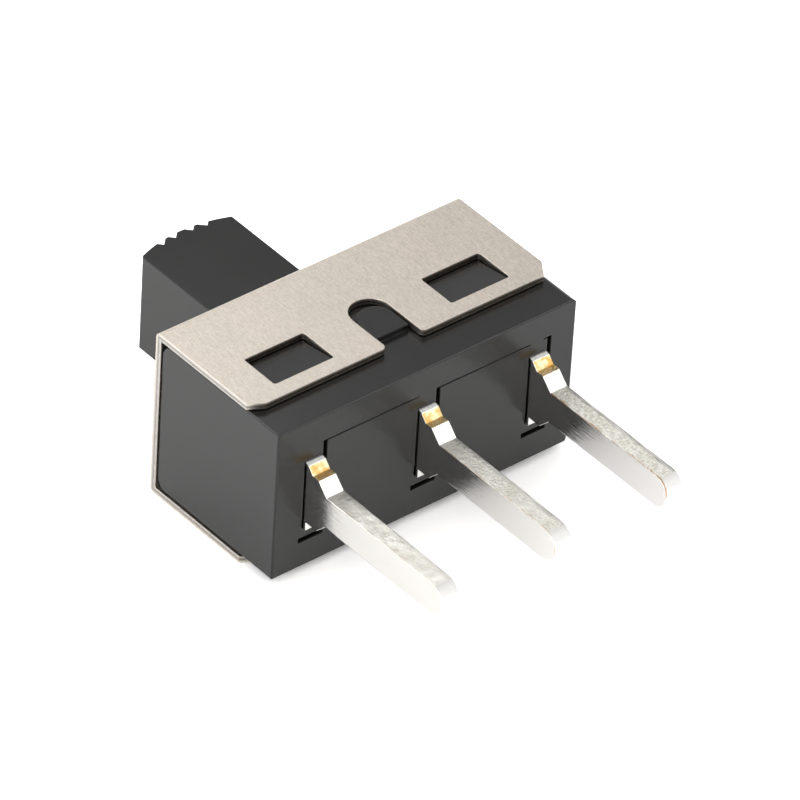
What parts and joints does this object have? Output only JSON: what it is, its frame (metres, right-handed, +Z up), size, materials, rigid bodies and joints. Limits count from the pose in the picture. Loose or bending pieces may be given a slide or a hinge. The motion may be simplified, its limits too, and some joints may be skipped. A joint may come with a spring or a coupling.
{
  "type": "slide switch",
  "caption": "Small slide switch: a black moulded base with flat solder terminals under a folded metal cover clipped over it, and a long ribbed knob that slides between clicked positions.",
  "frame": {"origin": "centre of the base's pin face, on the middle terminal's centre line", "axes": "+X along the slide, from the rest position to the other one; -Y along the terminals, +Y along the knob; +Z up, the switch lying on one flange of its cover"},
  "size_m": [0.0126, 0.0184, 0.0066],
  "materials": {
    "nickel_plated_steel": "satin nickel plate with fine rolling lines",
    "black_base_plastic": "semi-matte moulded surface",
    "black_knob_plastic": "semi-matte moulded surface",
    "contact_bronze": "bright rolled sheet",
    "spring_steel": "drawn wire",
    "ball_steel": "polished",
    "plated_brass": "bright silver plate, warmer on the sheared edges"
  },
  "bodies": {
    "housing": {"cover": "nickel_plated_steel", "base": "black_base_plastic", "terminal_left": "plated_brass", "terminal_common": "plated_brass", "terminal_right": "plated_brass"},
    "slider": {"slider": "black_knob_plastic", "moving_contact": "contact_bronze", "detent_spring": "spring_steel", "detent_ball_upper": "ball_steel", "detent_ball_lower": "ball_steel"}
  },
  "joints": [
    {"name": "knob_slide", "type": "slide", "parent": "housing", "child": "slider", "axis": [1, 0, 0], "range_m": [0, 0.0023]}
  ]
}
